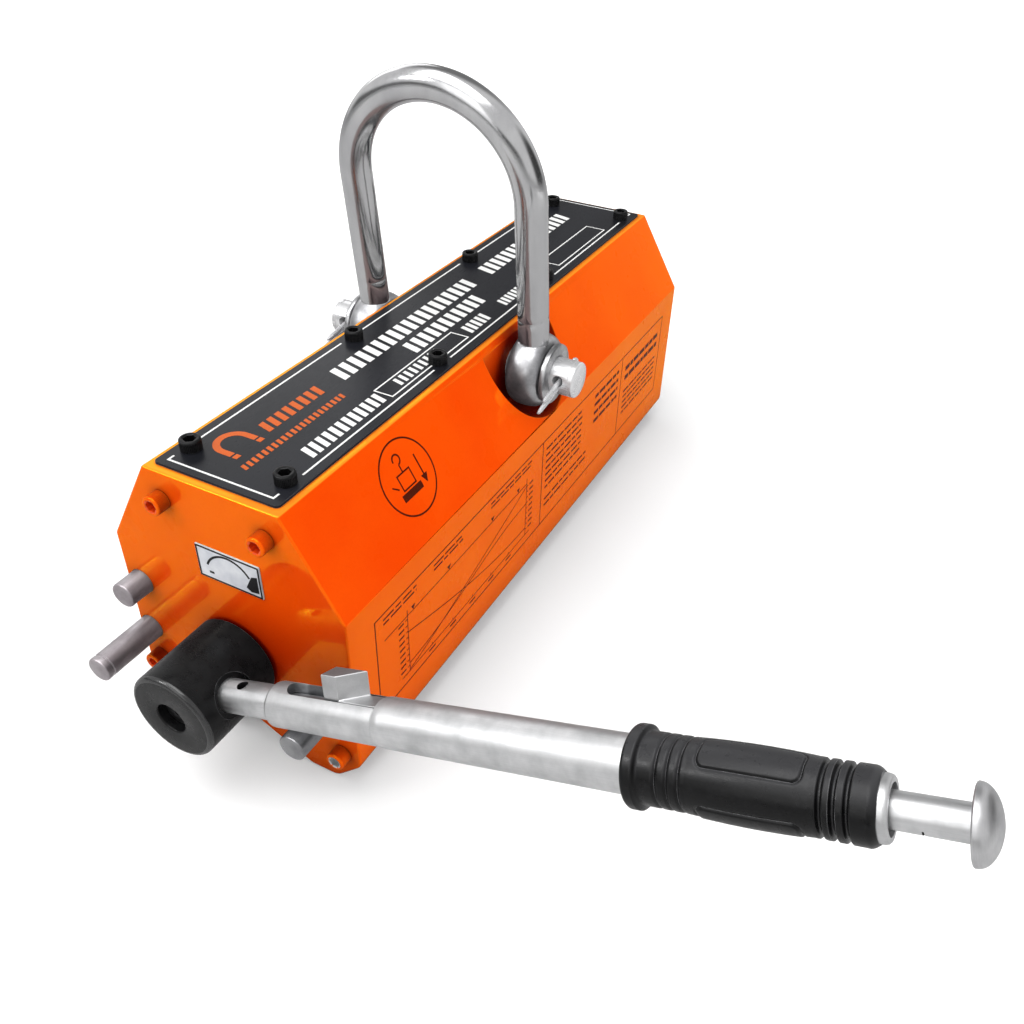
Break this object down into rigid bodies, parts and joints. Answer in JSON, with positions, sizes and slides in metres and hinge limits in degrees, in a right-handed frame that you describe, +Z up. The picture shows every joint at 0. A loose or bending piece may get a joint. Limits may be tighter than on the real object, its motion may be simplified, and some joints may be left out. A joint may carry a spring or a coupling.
{
  "type": "permanent lifting magnet",
  "caption": "Permanent magnetic lifter: eight-sided body with a grooved underside, a swinging shackle on a cross pin and a turning handle with a push-in latch.",
  "frame": {"origin": "on the flat underside of the separator strip between the two poles, midway along the body and on its centre plane; the pole feet lie 20 mm below it", "axes": "+X along the body away from the handle end, +Y towards the side the handle swings to when the magnet is switched on, +Z up"},
  "size_m": [0.52, 0.4439, 0.3274],
  "materials": {
    "orange_paint": "glossy",
    "black_plate": "satin print on aluminium",
    "black_oxide": "black oxide",
    "satin_black": "satin",
    "stainless": "polished",
    "zinc": "zinc plated, satin",
    "steel": "machined",
    "bronze": "machined",
    "aluminium": "satin",
    "magnet": "nickel plated",
    "rubber": "matte",
    "label": "printed"
  },
  "bodies": {
    "body": {"left_pole_block": "orange_paint", "right_pole_block": "orange_paint", "top_spacer": "aluminium", "separator_strip": "bronze", "fixed_magnet_front": "magnet", "fixed_magnet_rear": "magnet", "on_stop_pin": "zinc", "off_stop_pin": "zinc", "short_stop_pin": "zinc", "front_cover": "orange_paint", "rear_cover": "orange_paint", "front_bush": "bronze", "rear_bush": "bronze", "rear_cap": "orange_paint", "front_screw_upper_left": "orange_paint", "front_screw_upper_right": "orange_paint", "front_screw_lower_left": "orange_paint", "front_screw_lower_right": "orange_paint", "rear_screw_upper_left": "orange_paint", "rear_screw_upper_right": "orange_paint", "rear_screw_lower_left": "orange_paint", "rear_screw_lower_right": "orange_paint", "name_plate": "black_plate", "plate_screw_left_1": "black_oxide", "plate_screw_left_2": "black_oxide", "plate_screw_left_3": "black_oxide", "plate_screw_left_4": "black_oxide", "plate_screw_right_1": "black_oxide", "plate_screw_right_2": "black_oxide", "plate_screw_right_3": "black_oxide", "plate_screw_right_4": "black_oxide", "turn_label": "label", "shackle_pin": "stainless", "left_washer": "stainless", "right_washer": "stainless", "left_split_pin": "zinc", "right_split_pin": "zinc"},
    "handle": {"rotor_pole_left": "steel", "rotor_pole_right": "steel", "rotor_magnet_front": "magnet", "rotor_magnet_rear": "magnet", "front_shaft": "steel", "rear_shaft": "steel", "hub_key": "steel", "hub": "satin_black", "hub_lock_screw": "black_oxide", "handle_rod": "zinc", "handle_tube": "zinc", "spring_seat": "steel", "tube_end_bush": "zinc", "grip": "rubber"},
    "latch": {"plunger": "zinc", "latch_block": "zinc", "latch_screw": "steel", "plunger_collar": "steel", "latch_spring": "steel", "knob": "zinc"},
    "shackle": {"shackle": "stainless"}
  },
  "joints": [
    {"name": "handle_turn", "type": "hinge", "parent": "body", "child": "handle", "pos_m": [-0.26, 0, 0.048], "axis": [1, 0, 0], "range_deg": [-152, 0]},
    {"name": "latch_slide", "type": "slide", "parent": "handle", "child": "latch", "axis": [0, 0.9421, -0.3355], "range_m": [0, 0.02], "stiffness_N_per_m": 600, "springref_m": -0.01},
    {"name": "shackle_swing", "type": "hinge", "parent": "body", "child": "shackle", "pos_m": [0, 0, 0.131], "axis": [0, 1, 0], "range_deg": [-53, 67]}
  ]
}
